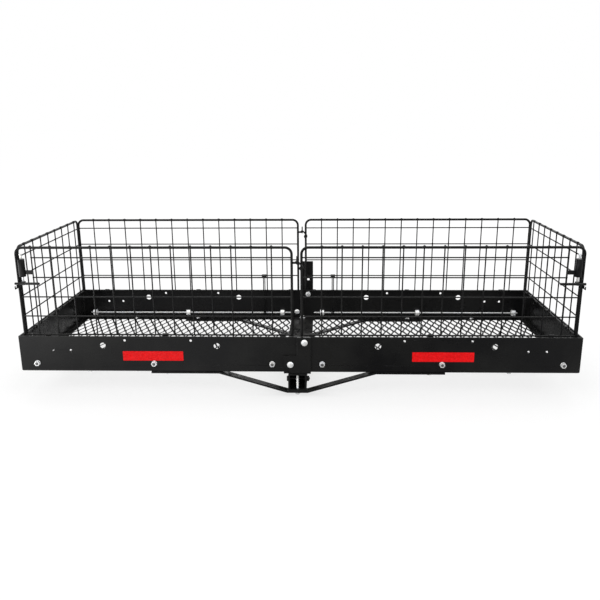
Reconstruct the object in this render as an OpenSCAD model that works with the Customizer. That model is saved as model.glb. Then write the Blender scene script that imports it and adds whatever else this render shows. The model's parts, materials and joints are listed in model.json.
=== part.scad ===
// Hitch cargo carrier: a steel tray in two halves on a 2 inch bar, with folding wire mesh sides.
// The origin is the middle of the hitch pin hole. +Y points at the vehicle, +Z is up and +X is
// to the right for someone who stands behind the carrier. Rear is -Y, front is the vehicle side.

/* [Tray] */
// Length of the tray, side to side
tray_l = 1524; // [1480:1:1600]
// Depth of the tray, rear to front
tray_w = 508; // [490:1:540]
// Height of the side rails
rail_h = 101.6; // [95:0.1:110]
// Thickness of the rail sheet
sheet_t = 3; // [2.5:0.5:3.5]
// Width of the rails' bottom flange
bottom_flange = 20; // [18:1:24]
// Outer bend radius of the rail sheet
bend_r = 5; // [4:0.5:6]
// Width of each cross rail beside the middle seam
cross_rail_w = 37; // [30:1:45]

/* [Floor mesh] */
// Pitch of the diamonds along X
diamond_w = 26; // [22:1:32]
// Pitch of the diamonds along Y
diamond_l = 62; // [50:1:70]
// Width of the mesh strands
strand_w = 3; // [2.5:0.5:4]
// Height of the raised mesh
mesh_t = 3.6; // [3.4:0.1:4.5]

/* [Hitch bar] */
// Wall thickness of the bar
bar_wall = 4.8; // [4:0.1:6]
// Diameter of the hitch pin hole
pin_hole_d = 16.4; // [16.2:0.1:16.8]
// Distance from the pin hole to the front rail
pin_to_rail = 254; // [220:1:300]
// Distance from the pin hole to the bar's front end
pin_to_end = 64; // [50:1:80]

/* [Cradle and braces] */
// Thickness of the cradle plate and the brace straps
strap_t = 5; // [4:0.5:6]
// Width of the cradle plate
cradle_w = 74; // [70:1:80]
// Height of the cradle's short legs
short_leg_h = 49; // [45:1:60]
// Height of the front post above the rail
post_rise = 99; // [80:1:120]
// Width of the brace straps
brace_w = 24; // [23:1:32]
// Half length of each brace
brace_reach = 402; // [390:1:410]
// Distance from the middle to the brace's bends
brace_bend_x = 215; // [180:1:240]
// Distance from the middle to the brace's end bolts
brace_bolt_x = 360; // [340:1:380]

/* [Wire panels] */
// Diameter of the panels' frame rod
frame_d = 7; // [6:0.1:7]
// Diameter of the rod along the lower edge of each panel
hinge_d = 4.4; // [4:0.1:4.6]
// Diameter of the mesh wire
wire_d = 3.6; // [3:0.1:3.6]
// Pitch of the level wires, and of the upright wires on the end panels
wire_pitch = 54; // [52:0.5:54]
// Pitch of the upright wires on the rear panels
rear_pitch = 53.5; // [52.5:0.5:54.5]
// Pitch of the upright wires on the front panels
front_pitch = 52.5; // [52:0.5:54.5]
// Height from the hinge rod to the top rod
panel_rise = 241.6; // [238:0.1:244]
// Distance of the panels from the tray's outer face
panel_inset = 14; // [13:0.5:15]
// Corner radius of the panel frames
corner_r = 18; // [14:1:19]

/* [Rods and stays] */
// Diameter of the tie rods
tie_rod_d = 5; // [4:0.5:6]
// Height of the tie rods above the rails' lower edge
tie_rod_z = 24.5; // [22:0.5:24.5]
// Diameter of the stay wire
stay_d = 3.2; // [3:0.1:3.4]

/* [Reflectors] */
// Length of each reflector
reflector_l = 166; // [150:1:180]
// Height of each reflector
reflector_h = 27; // [25:1:30]
// Thickness of each reflector
reflector_t = 1; // [0.8:0.1:1.5]

/* [Hidden] */
$fn = 48;
eps = 0.02;
seam_gap = 1;
// Outer size of a 2 inch square bar
bar_size = 50.8;
black = "#1b1c1e";
zinc = "silver";
red = "#d81e28";
half_l = tray_l / 2;
half_w = tray_w / 2;
// Place of the tray's middle in the part's frame, at the rails' lower edge
tray_y = -(pin_to_rail + half_w);
tray_z = bar_size / 2 + strap_t;
// Rows of holes along a rail's web, as [distance from the seam, height, diameter]
big_hole_d = 17;
small_hole_d = 7;
rail_holes = [
    [218.5, 75, big_hole_d],
    [530.5, 75, big_hole_d],
    [289, 90, small_hole_d],
    [470, 90, small_hole_d],
    [620.5, 61, small_hole_d],
    [669.5, 61, small_hole_d]
];
end_hole_y = 171;
end_hole_z = 79;
end_hole_d = 9;
// Eye bolts that carry the tie rods
eye_xs = [68, 392, 716];
eye_shank_d = 8;
eye_inset = 15;
eye_boss_d = 20;
eye_boss_l = 14;
eye_washer_d = 15;
// M8 bolts
m8_d = 8;
m8_hole_d = 8.6;
m8_head_d = 18;
m8_head_h = 5;
m8_nut_af = 13;
m8_nut_h = 6.5;
// M6 bolts
m6_d = 6;
m6_hole_d = 6.6;
m6_head_d = 14;
m6_head_h = 3.3;
m6_nut_af = 10;
m6_nut_h = 5;
washer_t = 1.6;
// Room in the mesh around a bolt head
head_gap = 1;
floor_bolt_x = 577;
flange_bolt_inset = 13;
splice_low = [-18.5, 24];
splice_high = [20, 87];
post_hole = [21, 138];
// Inner bend radius of the cradle
cradle_r = 4;
// Bar bolts and the cross bolt
bar_bolt_y = 240;
bar_grip = 2 * sheet_t + washer_t + 2 * strap_t + bar_size;
cross_bolt_y = -222;
// Panels
panel_y = half_w - panel_inset;
panel_x = half_l - panel_inset;
hinge_z = rail_h + 0.8;
top_z = hinge_z + panel_rise;
mid_post_x = 13;
end_post_y = 229;
mesh_top_gap = 27;
mesh_rows = 4;
wire_bump = 2;
wire_offset = (frame_d + wire_d) / 2 - 2.1;
// Clips stand midway between two upright wires
clip_steps = [0.5, 6.5, 12.5];
clip_ys = [for (i = [-3, 0, 3]) i * wire_pitch];
clip_w = 14;
clip_r = 4.4;
clip_t = 2;
clip_drop = 16;
run_gap = 0.08;
// Hooks at the middle
hook_pivot = [mid_post_x, 290];
peg_at = [1.5, 303];
peg_d = 5;
hook_w = 4;
hook_gap = 0.6;
hook_t = 4;
hook_tail_z = 321;
// Corner latches
latch_x = 734.5;
latch_off = 3;
barrel_d = 18;
barrel_z0 = 266.5;
barrel_z1 = 314;
lift_rod_d = 6;
lift_rod_top = 328;
bar_off = 9.4;
latch_bar_d = 7;
latch_bar_z = 248;
latch_bar_x0 = 691;
latch_bar_x1 = 755;
keeper_x0 = 751.8;
keeper_x1 = 753.8;
keeper_z0 = 233.5;
keeper_z1 = 242.5;
keeper_slot_w = 8.4;
// Stays
stay_xs = [-128, 104];
stay_half = 2.4;
stay_y = 11;
stay_eye_r = tie_rod_d / 2 + stay_d / 2 + 0.1;
stay_wire_z = top_z - mesh_top_gap - (mesh_rows - 1) * wire_pitch;
stay_head = [15, 16, 7.4];

// ---- Helpers ----

// Puts children given in the tray's own frame into the part's frame
module in_tray() {
    translate([0, tray_y, tray_z]) children();
}

// Children once on the right, once mirrored to the left
module both_sides() {
    children();
    mirror([1, 0, 0]) children();
}

// Children once at the rear, once mirrored to the front
module both_rails() {
    children();
    mirror([0, 1, 0]) children();
}

module rod_x(x0, x1, y, z, d) {
    translate([x0, y, z]) rotate([0, 90, 0]) cylinder(h = x1 - x0, d = d);
}

module rod_y(x, y0, y1, z, d) {
    translate([x, y0, z]) rotate([-90, 0, 0]) cylinder(h = y1 - y0, d = d);
}

module rod_z(x, y, z0, z1, d) {
    translate([x, y, z0]) cylinder(h = z1 - z0, d = d);
}

// Hexagonal prism along +Z
module hex(af, h) {
    cylinder(h = h, d = af / cos(30), $fn = 6);
}

// Carriage bolt along -Z: the domed head sits on z = 0 and the shank hangs down
module dome_bolt(d, head_d, head_h, grip) {
    ball_r = (head_d * head_d / 4 + head_h * head_h) / (2 * head_h);
    intersection() {
        translate([0, 0, head_h - ball_r]) sphere(r = ball_r);
        cylinder(h = head_h, d = head_d);
    }
    translate([0, 0, -grip]) cylinder(h = grip + 1, d = d);
}

// Hexagon bolt along -Z: the head sits on z = 0
module hex_bolt(d, af, head_h, grip) {
    hex(af, head_h);
    translate([0, 0, -grip]) cylinder(h = grip + 1, d = d);
}

// Hexagon nut with its bore, along +Z from z = 0
module nut(af, h, d) {
    difference() {
        hex(af, h);
        translate([0, 0, -1]) cylinder(h = h + 2, d = d + 2 * eps);
    }
}

module washer(od, d, t) {
    difference() {
        cylinder(h = t, d = od);
        translate([0, 0, -1]) cylinder(h = t + 2, d = d + 0.4);
    }
}

// ---- Tray ----

// Quarter of a bent sheet: the corner at the origin, with its legs towards +x and +y
module bend_profile() {
    translate([bend_r, bend_r]) intersection() {
        difference() {
            circle(r = bend_r);
            circle(r = bend_r - sheet_t);
        }
        translate([-bend_r - 1, -bend_r - 1]) square(bend_r + 1);
    }
}

// Angle section of a rail: x is the distance inwards from the outer face, y is the height
module angle_profile() {
    translate([0, bend_r]) square([sheet_t, rail_h - bend_r]);
    translate([bend_r, 0]) square([bottom_flange - bend_r, sheet_t]);
    bend_profile();
}

// Angle along x from x0 to x1, its outer face on y = 0 and its inside towards +y
module angle_rail(x0, x1) {
    translate([x0, 0, 0]) rotate([90, 0, 90]) linear_extrude(x1 - x0) angle_profile();
}

// Block that cuts a rail's end to a mitre, so that two rails meet along the corner's diagonal
module mitre_block(x) {
    cut = 4 * bottom_flange;
    translate([x - eps, 0, -1]) rotate([0, 0, 45]) translate([0, -cut, 0])
        cube([cut, 2 * cut, rail_h + 2]);
}

module web_hole(x, z, d) {
    rod_y(x, -1, bend_r + 1, z, d);
}

module flange_hole(x, inset, d) {
    rod_z(x, inset, -1, sheet_t + 1, d);
}

// Right half of a long rail, seen from outside with the seam at x = 0
module long_rail() {
    difference() {
        angle_rail(seam_gap / 2, half_l);
        mitre_block(half_l);
        for (h = rail_holes) web_hole(h[0], h[1], h[2]);
        for (x = eye_xs) web_hole(x, tie_rod_z, m8_hole_d);
        for (x = [brace_bolt_x, floor_bolt_x]) flange_hole(x, flange_bolt_inset, m6_hole_d);
        flange_hole(0, half_w - bar_bolt_y, m8_hole_d);
    }
}

// The right halves take the high splice bolt and the left halves take the low one
module rear_rail_right() color(black) in_tray() translate([0, -half_w, 0]) difference() {
    long_rail();
    web_hole(splice_high[0], splice_high[1], m8_hole_d);
}

module rear_rail_left() color(black) in_tray() translate([0, -half_w, 0]) difference() {
    mirror([1, 0, 0]) long_rail();
    web_hole(splice_low[0], splice_low[1], m8_hole_d);
}

module front_rail_right() color(black) in_tray() mirror([0, 1, 0])
    translate([0, -half_w, 0]) difference() {
        long_rail();
        web_hole(splice_high[0], splice_high[1], m8_hole_d);
    }

module front_rail_left() color(black) in_tray() mirror([0, 1, 0])
    translate([0, -half_w, 0]) difference() {
        mirror([1, 0, 0]) long_rail();
        web_hole(splice_low[0], splice_low[1], m8_hole_d);
    }

// End rail of the right side
module end_rail() {
    translate([half_l, 0, 0]) rotate([0, 0, 90]) difference() {
        angle_rail(-half_w, half_w);
        mitre_block(half_w);
        mirror([1, 0, 0]) mitre_block(half_w);
        for (x = [-end_hole_y, end_hole_y]) web_hole(x, end_hole_z, end_hole_d);
    }
}

module end_rail_right() color(black) in_tray() end_rail();
module end_rail_left() color(black) in_tray() mirror([1, 0, 0]) end_rail();

// Flat bar beside the seam, on top of the bottom flanges
module cross_rail() {
    reach = half_w - bend_r - 1;
    difference() {
        translate([seam_gap / 2, -reach, sheet_t]) cube([cross_rail_w, 2 * reach, sheet_t]);
        for (y = [-bar_bolt_y, bar_bolt_y]) rod_z(0, y, 0, 3 * sheet_t, m8_hole_d);
    }
}

module cross_rail_right() color(black) in_tray() cross_rail();
module cross_rail_left() color(black) in_tray() mirror([1, 0, 0]) cross_rail();

// One opening of the floor mesh, centred on the origin
module diamond() {
    open_x = diamond_w / 2 - strand_w / 2 - 0.4;
    open_y = diamond_l / 2 - strand_w - 1;
    polygon([[open_x, 0], [0, open_y], [-open_x, 0], [0, -open_y]]);
}

// Expanded sheet of the right half, lying on the bottom flanges
module floor_mesh() {
    x0 = seam_gap / 2 + cross_rail_w + 0.2;
    x1 = half_l - bend_r - 1;
    reach = half_w - bend_r - 1;
    rim = 6;
    cols = ceil((x1 - x0) / diamond_w);
    rows = ceil(2 * reach / diamond_l / 2);
    translate([0, 0, sheet_t]) difference() {
        linear_extrude(mesh_t) difference() {
            translate([x0, -reach]) square([x1 - x0, 2 * reach]);
            intersection() {
                translate([x0 + rim, rim - reach]) square([x1 - x0 - 2 * rim, 2 * reach - 2 * rim]);
                for (i = [0 : cols], j = [-rows : rows]) {
                    translate([x0 + i * diamond_w, j * diamond_l]) diamond();
                    translate([x0 + (i + 0.5) * diamond_w, (j + 0.5) * diamond_l]) diamond();
                }
            }
        }
        for (x = [brace_bolt_x, floor_bolt_x], s = [-1, 1])
            rod_z(x, s * (half_w - flange_bolt_inset), -1, mesh_t + 1, m6_head_d + 2 * head_gap);
    }
}

module floor_mesh_right() color(black) in_tray() floor_mesh();
module floor_mesh_left() color(black) in_tray() mirror([1, 0, 0]) floor_mesh();

module reflector() {
    translate([394 - reflector_l / 2, -half_w - reflector_t - eps, 46 - reflector_h / 2])
        cube([reflector_l, reflector_t, reflector_h]);
}

module reflector_right() color(red) in_tray() reflector();
module reflector_left() color(red) in_tray() mirror([1, 0, 0]) reflector();

// ---- Cradle, bar and braces ----

// Upright outline of a cradle leg: short on the left, tall on the right
module leg_profile(tall_h) {
    half = cradle_w / 2;
    chamfer = 26;
    polygon([
        [-half + chamfer, -strap_t],
        [half, -strap_t],
        [half, tall_h],
        [0, tall_h],
        [0, short_leg_h],
        [-half, short_leg_h],
        [-half, chamfer - strap_t]
    ]);
}

// Open-topped box outline with round bottom corners: x from -w to w, y from z up
module tub_profile(w, z, r) {
    top = rail_h + post_rise + 1;
    translate([-w, z + r]) square([2 * w, top - z - r]);
    translate([r - w, z]) square([2 * w - 2 * r, 2 * r]);
    for (s = [-1, 1]) translate([s * (w - r), z + r]) circle(r = r);
}

// Plate bent to a U, without its legs' outlines
module cradle_blank() {
    translate([-cradle_w / 2, 0, 0]) rotate([90, 0, 90]) linear_extrude(cradle_w) difference() {
        tub_profile(half_w + strap_t, -strap_t, cradle_r + strap_t);
        tub_profile(half_w + eps, 0, cradle_r);
    }
}

// Plate that wraps under the tray, with its legs on the outer faces of the long rails
module cradle() color(black) in_tray() difference() {
    leg_zone = half_w - cradle_r;
    intersection() {
        cradle_blank();
        union() {
            translate([-cradle_w / 2, -leg_zone, -strap_t]) cube([cradle_w, 2 * leg_zone, strap_t]);
            translate([0, -leg_zone, 0]) rotate([90, 0, 0])
                linear_extrude(half_w) leg_profile(rail_h);
            translate([0, leg_zone + half_w, 0]) rotate([90, 0, 0])
                linear_extrude(half_w) leg_profile(rail_h + post_rise);
        }
    }
    for (p = [splice_low, splice_high]) {
        rod_y(p[0], -half_w - strap_t - 1, -half_w + 1, p[1], m8_hole_d);
        rod_y(p[0], half_w - 1, half_w + strap_t + 1, p[1], m8_hole_d);
    }
    rod_y(post_hole[0], half_w - 1, half_w + strap_t + 1, post_hole[1], m8_hole_d);
    for (y = [-bar_bolt_y, bar_bolt_y]) rod_z(0, y, -strap_t - 1, 1, m8_hole_d);
}

// Square with round corners, centred
module round_square(size, r) {
    square([size - 2 * r, size], center = true);
    square([size, size - 2 * r], center = true);
    for (x = [-1, 1], y = [-1, 1])
        translate([x * (size / 2 - r), y * (size / 2 - r)]) circle(r = r);
}

module hitch_bar() color(black) difference() {
    rear_end = tray_y - half_w;
    translate([0, pin_to_end, 0]) rotate([90, 0, 0])
        linear_extrude(pin_to_end - rear_end) difference() {
            round_square(bar_size, 6);
            round_square(bar_size - 2 * bar_wall, 2);
        }
    rod_x(-bar_size, bar_size, 0, 0, pin_hole_d);
    rod_x(-bar_size, bar_size, tray_y + cross_bolt_y, 0, m8_hole_d);
    for (y = [-bar_bolt_y, bar_bolt_y]) rod_z(0, tray_y + y, -bar_size, bar_size, m8_hole_d);
}

// Strap bent to a shallow V: flat ends under the rails and a flat middle under the bar
module brace() {
    low = -strap_t - bar_size;
    flat = bar_size / 2 + 3;
    difference() {
        translate([0, -half_w + brace_w, 0]) rotate([90, 0, 0]) linear_extrude(brace_w)
            polygon([
                [-brace_reach, 0], [-brace_bend_x, 0], [-flat, low],
                [flat, low], [brace_bend_x, 0], [brace_reach, 0],
                [brace_reach, -strap_t], [brace_bend_x, -strap_t], [flat, low - strap_t],
                [-flat, low - strap_t], [-brace_bend_x, -strap_t], [-brace_reach, -strap_t]
            ]);
        rod_z(0, -bar_bolt_y, low - strap_t - 1, low + 1, m8_hole_d);
        for (x = [-brace_bolt_x, brace_bolt_x])
            rod_z(x, -half_w + flange_bolt_inset, -strap_t - 1, 1, m6_hole_d);
    }
}

module rear_brace() color(black) in_tray() brace();
module front_brace() color(black) in_tray() mirror([0, 1, 0]) brace();

// ---- Fasteners ----

// Rear heads sit outside on the cradle, front heads sit inside on the rail
module splice_bolts() color(zinc) in_tray() {
    grip = strap_t + sheet_t + m8_nut_h + washer_t + 2;
    for (p = [splice_low, splice_high]) {
        translate([p[0], -half_w - strap_t - eps, p[1]]) rotate([90, 0, 0])
            dome_bolt(m8_d, m8_head_d, m8_head_h, grip);
        translate([p[0], half_w - sheet_t - eps, p[1]]) rotate([90, 0, 0])
            dome_bolt(m8_d, m8_head_d, m8_head_h, grip);
    }
}

module splice_nuts() color(zinc) in_tray() {
    for (p = [splice_low, splice_high]) {
        translate([p[0], -half_w + sheet_t + eps, p[1]]) rotate([-90, 0, 0])
            nut(m8_nut_af, m8_nut_h, m8_d);
        translate([p[0], half_w + strap_t + eps, p[1]]) rotate([-90, 0, 0])
            nut(m8_nut_af, m8_nut_h, m8_d);
    }
}

// Vertical bolts through cross rails, cradle, bar and brace, nuts down
module bar_bolts() color(zinc) in_tray() {
    for (y = [-bar_bolt_y, bar_bolt_y])
        translate([0, y, 2 * sheet_t + washer_t + 2 * eps])
            hex_bolt(m8_d, m8_nut_af, m8_head_h, bar_grip + m8_nut_h + 4);
}

module bar_washers() color(zinc) in_tray() {
    for (y = [-bar_bolt_y, bar_bolt_y]) translate([0, y, 2 * sheet_t + eps])
        washer(20, m8_d, washer_t);
}

module bar_nuts() color(zinc) in_tray() {
    for (y = [-bar_bolt_y, bar_bolt_y])
        translate([0, y, -2 * strap_t - bar_size - m8_nut_h - eps])
            nut(m8_nut_af, m8_nut_h, m8_d);
}

// Horizontal bolt through the bar's side walls, head on the left
module cross_bolt() color(black) translate([-bar_size / 2 - eps, tray_y + cross_bolt_y, 0])
    rotate([0, -90, 0]) hex_bolt(m8_d, m8_nut_af, m8_head_h, bar_size + m8_nut_h + 2);

module cross_nut() color(black) translate([bar_size / 2 + eps, tray_y + cross_bolt_y, 0])
    rotate([0, 90, 0]) nut(m8_nut_af, m8_nut_h, m8_d);

// Four bolts down through the bottom flanges at +-x, their heads in the mesh's cut-outs
module flange_bolts(x, grip) {
    for (sx = [-1, 1], sy = [-1, 1])
        translate([sx * x, sy * (half_w - flange_bolt_inset), sheet_t + eps])
            dome_bolt(m6_d, m6_head_d, m6_head_h, grip);
}

module flange_nuts(x, z) {
    for (sx = [-1, 1], sy = [-1, 1])
        translate([sx * x, sy * (half_w - flange_bolt_inset), z - m6_nut_h - eps])
            nut(m6_nut_af, m6_nut_h, m6_d);
}

module brace_bolts() color(zinc) in_tray()
    flange_bolts(brace_bolt_x, sheet_t + strap_t + m6_nut_h + 1);
module brace_nuts() color(zinc) in_tray() flange_nuts(brace_bolt_x, -strap_t);
module floor_bolts() color(zinc) in_tray()
    flange_bolts(floor_bolt_x, sheet_t + m6_nut_h + 1);
module floor_nuts() color(zinc) in_tray() flange_nuts(floor_bolt_x, 0);

// ---- Tie rods ----

module tie_rods() color(zinc) in_tray() both_rails() both_sides()
    rod_x(cradle_w / 2 + 3, half_l - 32, -half_w + eye_inset, tie_rod_z, tie_rod_d);

// Eye bolt: the boss holds the rod along x, the shank leaves through the web
module eye_bolt() {
    difference() {
        rod_x(-eye_boss_l / 2, eye_boss_l / 2, 0, 0, eye_boss_d);
        rod_x(-eye_boss_l, eye_boss_l, 0, 0, tie_rod_d + 0.6);
    }
    rod_y(0, -eye_inset - washer_t - m8_nut_h - 2, 1 - eye_boss_d / 2, 0, eye_shank_d);
}

module at_eyes() {
    both_rails() both_sides() for (x = eye_xs) translate([x, -half_w, tie_rod_z]) children();
}

module eye_bolts() color(zinc) in_tray() at_eyes() translate([0, eye_inset, 0]) eye_bolt();

module eye_washers() color(zinc) in_tray() at_eyes()
    translate([0, -eps, 0]) rotate([90, 0, 0]) washer(eye_washer_d, m8_d, washer_t);

module eye_nuts() color(zinc) in_tray() at_eyes()
    translate([0, -washer_t - 2 * eps, 0]) rotate([90, 0, 0]) nut(m8_nut_af, m8_nut_h, m8_d);

// ---- Wire panels ----

// Quarter ring of rod in the XZ plane from direction a to a + 90 degrees
module elbow(x, z, r, a) {
    translate([x, 0, z]) rotate([90, 0, 0]) rotate([0, 0, a])
        rotate_extrude(angle = 90) translate([r, 0]) circle(d = frame_d);
}

// Frame in the plane y = 0 between post axes x0 and x1: a bent rod closed by the hinge rod
module panel_frame(x0, x1) {
    for (x = [x0, x1]) rod_z(x, 0, hinge_z - hinge_d / 2, top_z - corner_r, frame_d);
    rod_x(x0 + corner_r, x1 - corner_r, 0, top_z, frame_d);
    elbow(x1 - corner_r, top_z - corner_r, corner_r, 0);
    elbow(x0 + corner_r, top_z - corner_r, corner_r, 90);
    rod_x(x0, x1, 0, hinge_z, hinge_d);
}

// Upright mesh wires at the given places, welded to the frame's +y side
module uprights(xs) {
    for (x = xs) rod_z(x, wire_offset, hinge_z, top_z + frame_d / 2 + wire_bump, wire_d);
}

module cross_wire(x0, x1, row) {
    rod_x(x0, x1, 0, top_z - mesh_top_gap - row * wire_pitch, wire_d);
}

function upright_xs(pitch) = [for (x = [mid_post_x + pitch : pitch : panel_x - 20]) x];

rear_xs = upright_xs(rear_pitch);
last_upright = rear_xs[len(rear_xs) - 1];

// Right long panel; the upper rows stop at the last upright where a latch needs the room
module long_panel(xs, latched) {
    panel_frame(mid_post_x, panel_x);
    uprights(xs);
    for (row = [0 : mesh_rows - 1])
        cross_wire(mid_post_x, latched && row < 2 ? last_upright : panel_x, row);
}

// End panel in its own plane, x along the end rail
module end_panel() {
    ys = [for (i = [-3.5 : 3.5]) i * wire_pitch];
    panel_frame(-end_post_y, end_post_y);
    uprights(ys);
    for (row = [0 : mesh_rows - 1]) cross_wire(-end_post_y, end_post_y, row);
}

module rear_panel_right() color(black) in_tray()
    translate([0, -panel_y, 0]) long_panel(rear_xs, true);
module rear_panel_left() color(black) in_tray()
    translate([0, -panel_y, 0]) mirror([1, 0, 0]) long_panel(rear_xs, true);
module front_panel_right() color(black) in_tray() mirror([0, 1, 0])
    translate([0, -panel_y, 0]) long_panel(upright_xs(front_pitch), false);
module front_panel_left() color(black) in_tray() mirror([0, 1, 0])
    translate([0, -panel_y, 0]) mirror([1, 0, 0]) long_panel(upright_xs(front_pitch), false);
module end_panel_right() color(black) in_tray()
    translate([panel_x, 0, 0]) rotate([0, 0, 90]) end_panel();
module end_panel_left() color(black) in_tray() mirror([1, 0, 0])
    translate([panel_x, 0, 0]) rotate([0, 0, 90]) end_panel();

// Clip on a web's inner face: the bore runs along x at the origin, the web stands towards -y
module hinge_clip() {
    reach = panel_inset - sheet_t - eps;
    translate([-clip_w / 2, 0, 0]) difference() {
        union() {
            rod_x(0, clip_w, 0, 0, 2 * clip_r);
            translate([0, -reach, -clip_r]) cube([clip_w, reach, clip_t]);
            translate([0, -reach, -clip_drop]) cube([clip_w, clip_t, clip_drop - clip_r + clip_t]);
        }
        rod_x(-1, clip_w + 1, 0, 0, hinge_d + 2 * run_gap);
    }
}

module clip_row(pitch) {
    both_sides() for (i = clip_steps)
        translate([mid_post_x + i * pitch, -panel_y, hinge_z]) hinge_clip();
}

module rear_hinge_clips() color(black) in_tray() clip_row(rear_pitch);
module front_clips() color(black) in_tray() mirror([0, 1, 0]) clip_row(front_pitch);
module end_clips() color(black) in_tray() both_sides()
    for (y = clip_ys) translate([panel_x, y, hinge_z]) rotate([0, 0, 90]) hinge_clip();

// ---- Middle hooks ----

// Hook in the XZ plane: it drops over the peg from the pivot's side, and its tail is a pull
module hook_shape() {
    reach = peg_at - hook_pivot;
    len = norm(reach);
    a = atan2(reach[1], reach[0]);
    band_r = peg_d / 2 + hook_gap + hook_w / 2;
    translate(hook_pivot) circle(r = 6);
    translate(hook_pivot) rotate(a) translate([0, -band_r - hook_w / 2])
        square([len, hook_w]);
    translate(peg_at) difference() {
        circle(r = band_r + hook_w / 2);
        circle(r = band_r - hook_w / 2);
        rotate(a) translate([-50, -50]) square([50, 100]);
        rotate(a + 25) translate([-50, 0]) square([100, 50]);
    }
    translate([peg_at[0], peg_at[1] + band_r]) {
        translate([-hook_w / 2, 0]) square([hook_w, hook_tail_z - peg_at[1] - band_r]);
        translate([0, hook_tail_z - peg_at[1] - band_r]) circle(d = hook_w);
    }
}

// Hook whose back face is at y
module hook(y) {
    difference() {
        translate([0, y, 0]) rotate([90, 0, 0]) linear_extrude(hook_t) hook_shape();
        rod_y(hook_pivot[0], y - hook_t - 1, y + 1, hook_pivot[1], peg_d + 2 * run_gap);
    }
}

// Pivot pin that stands on the right panel's post at y, with a flat head
module hook_pin(y) {
    rod_y(hook_pivot[0], y - hook_t - 1.2, -frame_d / 2 - eps, hook_pivot[1], peg_d);
    rod_y(hook_pivot[0], y - hook_t - 2.7, y - hook_t - 1.2, hook_pivot[1], 9);
}

// Ear on the left panel's post with the peg that the hook holds
module hook_peg(y) {
    rod_x(-mid_post_x + frame_d / 2 + eps, peg_at[0] + 1, 0, peg_at[1], 6);
    rod_y(peg_at[0], y - hook_t - 1, 0, peg_at[1], peg_d);
}

rear_hook_y = -frame_d / 2 - 2.4;
front_hook_y = -frame_d / 2 - 2.8;

module at_rear_panel() in_tray() translate([0, -panel_y, 0]) children();
module at_front_panel() in_tray() translate([0, panel_y, 0]) children();

module rear_hook() color(black) at_rear_panel() hook(rear_hook_y);
module rear_hook_pin() color(black) at_rear_panel() hook_pin(rear_hook_y);
module rear_hook_peg() color(black) at_rear_panel() hook_peg(rear_hook_y);
module front_hook() color(black) at_front_panel() hook(front_hook_y);
module front_hook_pin() color(black) at_front_panel() hook_pin(front_hook_y);
module front_hook_peg() color(black) at_front_panel() hook_peg(front_hook_y);

// ---- Corner latches, right-hand side ----

// Barrel beside the panel's outer post, with a tab to the last upright
module latch_barrel() {
    tab_z = 272;
    tab_h = 11;
    tab_t = latch_off + wire_offset - wire_d / 2 - eps;
    difference() {
        union() {
            rod_z(latch_x, -latch_off, barrel_z0, barrel_z1, barrel_d);
            translate([last_upright - 1.5, -latch_off, tab_z])
                cube([latch_x - last_upright, tab_t, tab_h]);
            translate([latch_x, -latch_off - 1, barrel_z0 + 18])
                cube([panel_x - frame_d / 2 - latch_x - 0.2, tab_t, 24]);
        }
        rod_z(latch_x, -latch_off, barrel_z0 - 1, barrel_z1 + 1, lift_rod_d + 2 * run_gap);
    }
}

// Lift rod with its stop ring above the barrel
module latch_rod() {
    rod_z(latch_x, -latch_off, latch_bar_z - 5, lift_rod_top, lift_rod_d);
    rod_z(latch_x, -latch_off, lift_rod_top - 2.5, lift_rod_top - 0.5, lift_rod_d + 3);
}

// Bar under the barrel: the outer end drops into the keeper, the inner end is the handle
module latch_bar() {
    collar_d = 12;
    difference() {
        union() {
            rod_x(latch_bar_x0, latch_bar_x1, -bar_off, latch_bar_z, latch_bar_d);
            translate([latch_bar_x0, -bar_off, latch_bar_z]) sphere(d = latch_bar_d);
            rod_z(latch_x, -latch_off, latch_bar_z - 4.5, latch_bar_z + 4.5, collar_d);
        }
        rod_z(latch_x, -latch_off, latch_bar_z - 9, latch_bar_z + 9, lift_rod_d + 2 * eps);
    }
}

// Slotted plate on the end panel's rear post
module latch_keeper() {
    post_y = panel_y - end_post_y;
    outer = -bar_off - keeper_slot_w / 2 - 2.8;
    slot_bottom = latch_bar_z - latch_bar_d / 2 - 8.6;
    difference() {
        union() {
            translate([keeper_x0, outer, keeper_z0])
                cube([keeper_x1 - keeper_x0, post_y + 4 - outer, keeper_z1 - keeper_z0]);
            translate([panel_x, post_y - 4, keeper_z0])
                cube([keeper_x1 - panel_x, 8, keeper_z1 - keeper_z0]);
        }
        rod_z(panel_x, post_y, keeper_z0 - 1, keeper_z1 + 1, frame_d + 2 * eps);
        rod_x(keeper_x0 - 1, keeper_x1 + 1, -bar_off, slot_bottom + keeper_slot_w / 2, keeper_slot_w);
        translate([keeper_x0 - 1, -bar_off - keeper_slot_w / 2, slot_bottom + keeper_slot_w / 2])
            cube([keeper_x1 - keeper_x0 + 2, keeper_slot_w, keeper_z1]);
    }
}

module latch_barrel_right() color(black) at_rear_panel() latch_barrel();
module latch_barrel_left() color(black) at_rear_panel() mirror([1, 0, 0]) latch_barrel();
module latch_rod_right() color(zinc) at_rear_panel() latch_rod();
module latch_rod_left() color(zinc) at_rear_panel() mirror([1, 0, 0]) latch_rod();
module latch_bar_right() color(black) at_rear_panel() latch_bar();
module latch_bar_left() color(black) at_rear_panel() mirror([1, 0, 0]) latch_bar();
module latch_keeper_right() color(black) at_rear_panel() latch_keeper();
module latch_keeper_left() color(black) at_rear_panel() mirror([1, 0, 0]) latch_keeper();

// ---- Panel stays ----

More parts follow.
